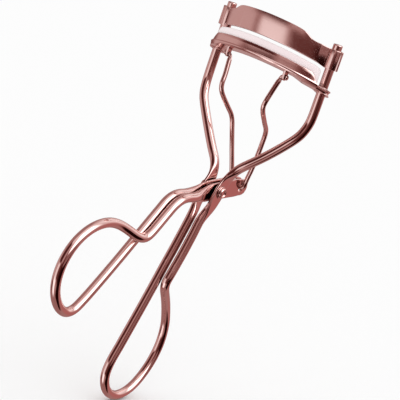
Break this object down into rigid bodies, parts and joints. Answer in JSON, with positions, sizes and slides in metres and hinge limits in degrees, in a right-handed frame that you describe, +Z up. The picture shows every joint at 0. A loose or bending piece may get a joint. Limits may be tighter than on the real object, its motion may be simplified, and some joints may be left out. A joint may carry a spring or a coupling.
{
  "type": "eyelash curler",
  "caption": "Hand-held eyelash curler: bent-wire scissor handles with finger rings, a curved fixed press bar and a sliding padded bar driven by link wires.",
  "frame": {"origin": "centre of the bounding box", "axes": "+X along the press bar towards the viewer's right, +Z up along the guide posts, handles open towards -Y"},
  "size_m": [0.0404, 0.0736, 0.116],
  "materials": {
    "wire_metal": "polished rose-gold plating",
    "bar_metal": "satin-polished rose-gold plating",
    "link_metal": "polished rose-gold plating",
    "rivet_metal": "polished rose-gold plating",
    "washer_metal": "rose-gold plating in shade",
    "pad_silicone": "translucent soft silicone"
  },
  "bodies": {
    "frame_body": {"frame": "wire_metal", "upper_bar": "bar_metal", "rivet_left": "rivet_metal", "rivet_right": "rivet_metal", "washer_left": "washer_metal", "washer_right": "washer_metal"},
    "lever_body": {"lever_handle": "wire_metal"},
    "lower_bar_body": {"lower_bar": "bar_metal", "silicone_pad": "pad_silicone", "link_ear_left": "link_metal", "link_ear_right": "link_metal"},
    "link_left_body": {"link_left": "link_metal"},
    "link_right_body": {"link_right": "link_metal"}
  },
  "joints": [
    {"name": "lever_pivot", "type": "hinge", "parent": "frame_body", "child": "lever_body", "pos_m": [0, 0.02109, 0.00689], "axis": [1, 0, 0], "range_deg": [-28, 4.3]},
    {"name": "lower_bar_slide", "type": "slide", "parent": "frame_body", "child": "lower_bar_body", "axis": [0, 0, 1], "range_m": [-0.00553, 0.00086]},
    {"name": "link_left_swing", "type": "hinge", "parent": "lower_bar_body", "child": "link_left_body", "pos_m": [-0.00955, 0.02094, 0.04343], "axis": [1, 0, 0], "range_deg": [-1.2, 0.2]},
    {"name": "link_right_swing", "type": "hinge", "parent": "lower_bar_body", "child": "link_right_body", "pos_m": [0.00955, 0.02094, 0.04343], "axis": [1, 0, 0], "range_deg": [-1.2, 0.2]}
  ],
  "couplings": [
    {"joint": "lower_bar_slide", "follows": "lever_pivot", "m_per_rad": 0.0113},
    {"joint": "link_left_swing", "follows": "lever_pivot", "ratio": 0.04},
    {"joint": "link_right_swing", "follows": "lever_pivot", "ratio": 0.04}
  ]
}
